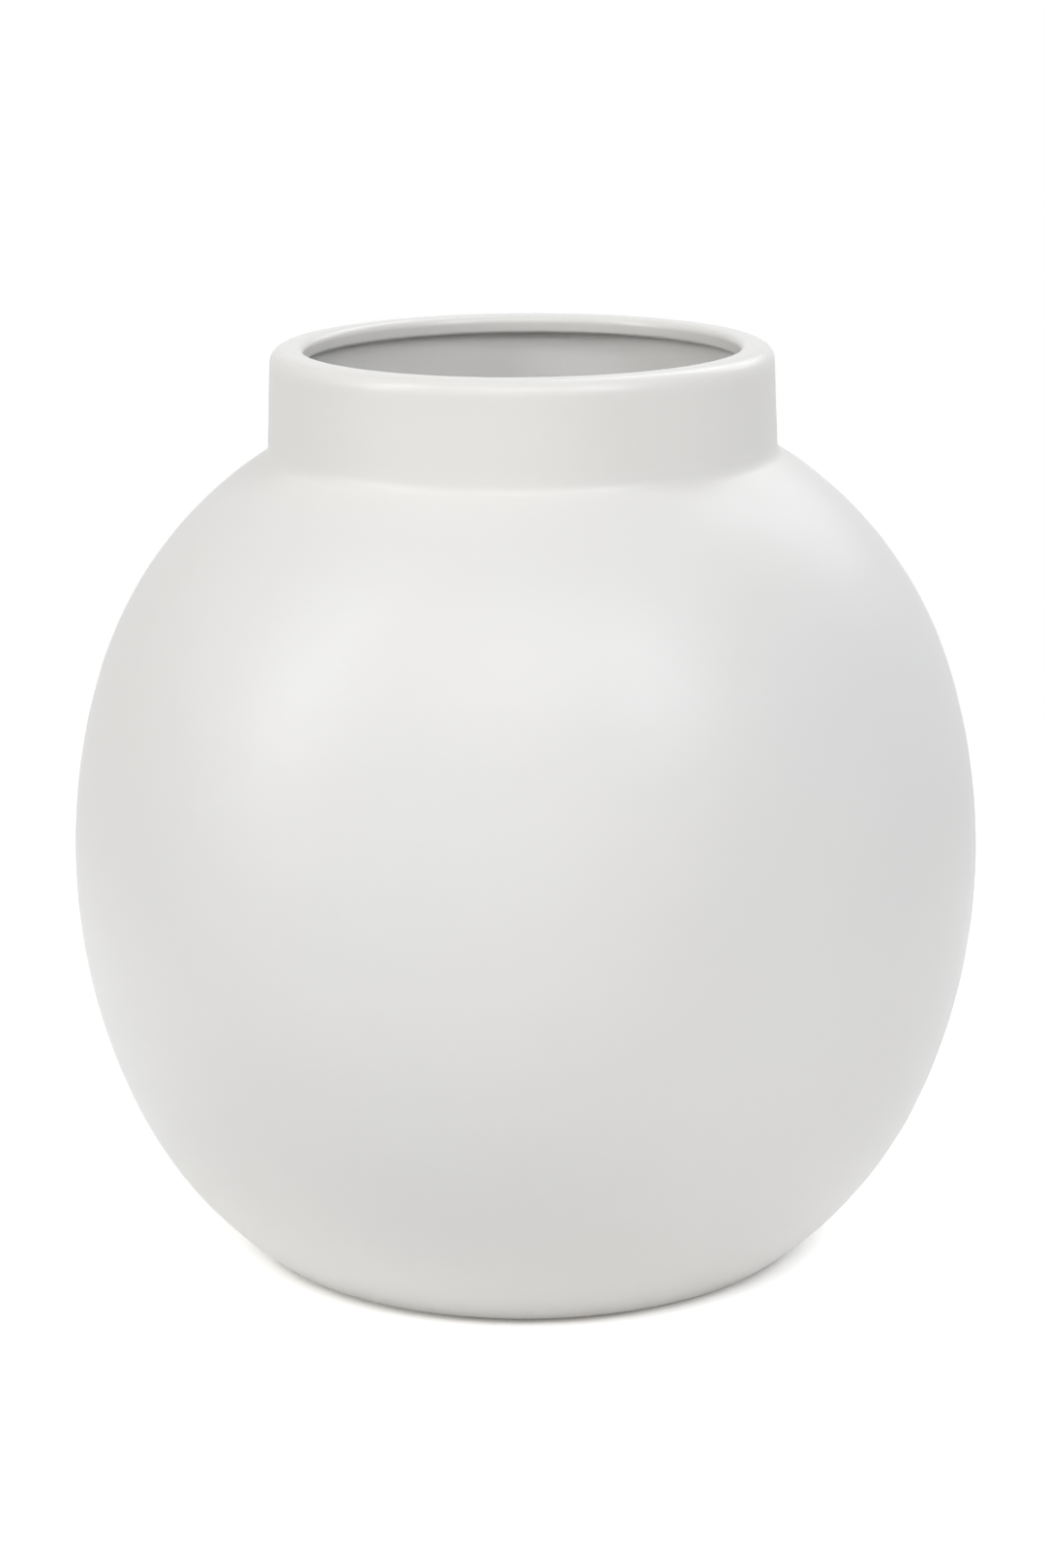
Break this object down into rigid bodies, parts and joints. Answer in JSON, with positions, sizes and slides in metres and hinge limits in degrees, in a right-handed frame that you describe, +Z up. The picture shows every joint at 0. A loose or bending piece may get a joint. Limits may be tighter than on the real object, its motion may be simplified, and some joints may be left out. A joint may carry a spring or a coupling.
{
  "type": "moon jar",
  "caption": "Round-bellied white ceramic jar with a short upright collar, a thick rounded lip beaded inside the mouth, and a low flat foot ring.",
  "frame": {"origin": "on the jar's axis, in the plane of the foot ring's contact face", "axes": "+Z up along the axis of revolution, out of the mouth; the jar is round, so +X and +Y are any two directions square to it"},
  "size_m": [0.23, 0.23, 0.2311],
  "materials": {
    "clay_body": "fired white stoneware, fine grained, unglazed where two pieces meet",
    "bare_foot": "bare fired stoneware, dry, rubbed smooth where it stands",
    "joining_slip": "fired joining slip of the same clay",
    "matte_glaze": "smooth satin-matte white glaze",
    "liner_glaze": "smooth satin-matte white glaze inside"
  },
  "bodies": {
    "root": {"lower_bowl": "clay_body", "upper_bowl": "clay_body", "neck_collar": "clay_body", "foot_ring": "bare_foot", "waist_slip": "joining_slip", "neck_slip": "joining_slip", "foot_slip": "joining_slip", "waist_coil": "clay_body", "outer_glaze": "matte_glaze", "inner_glaze": "liner_glaze", "base_glaze": "matte_glaze"}
  },
  "joints": []
}
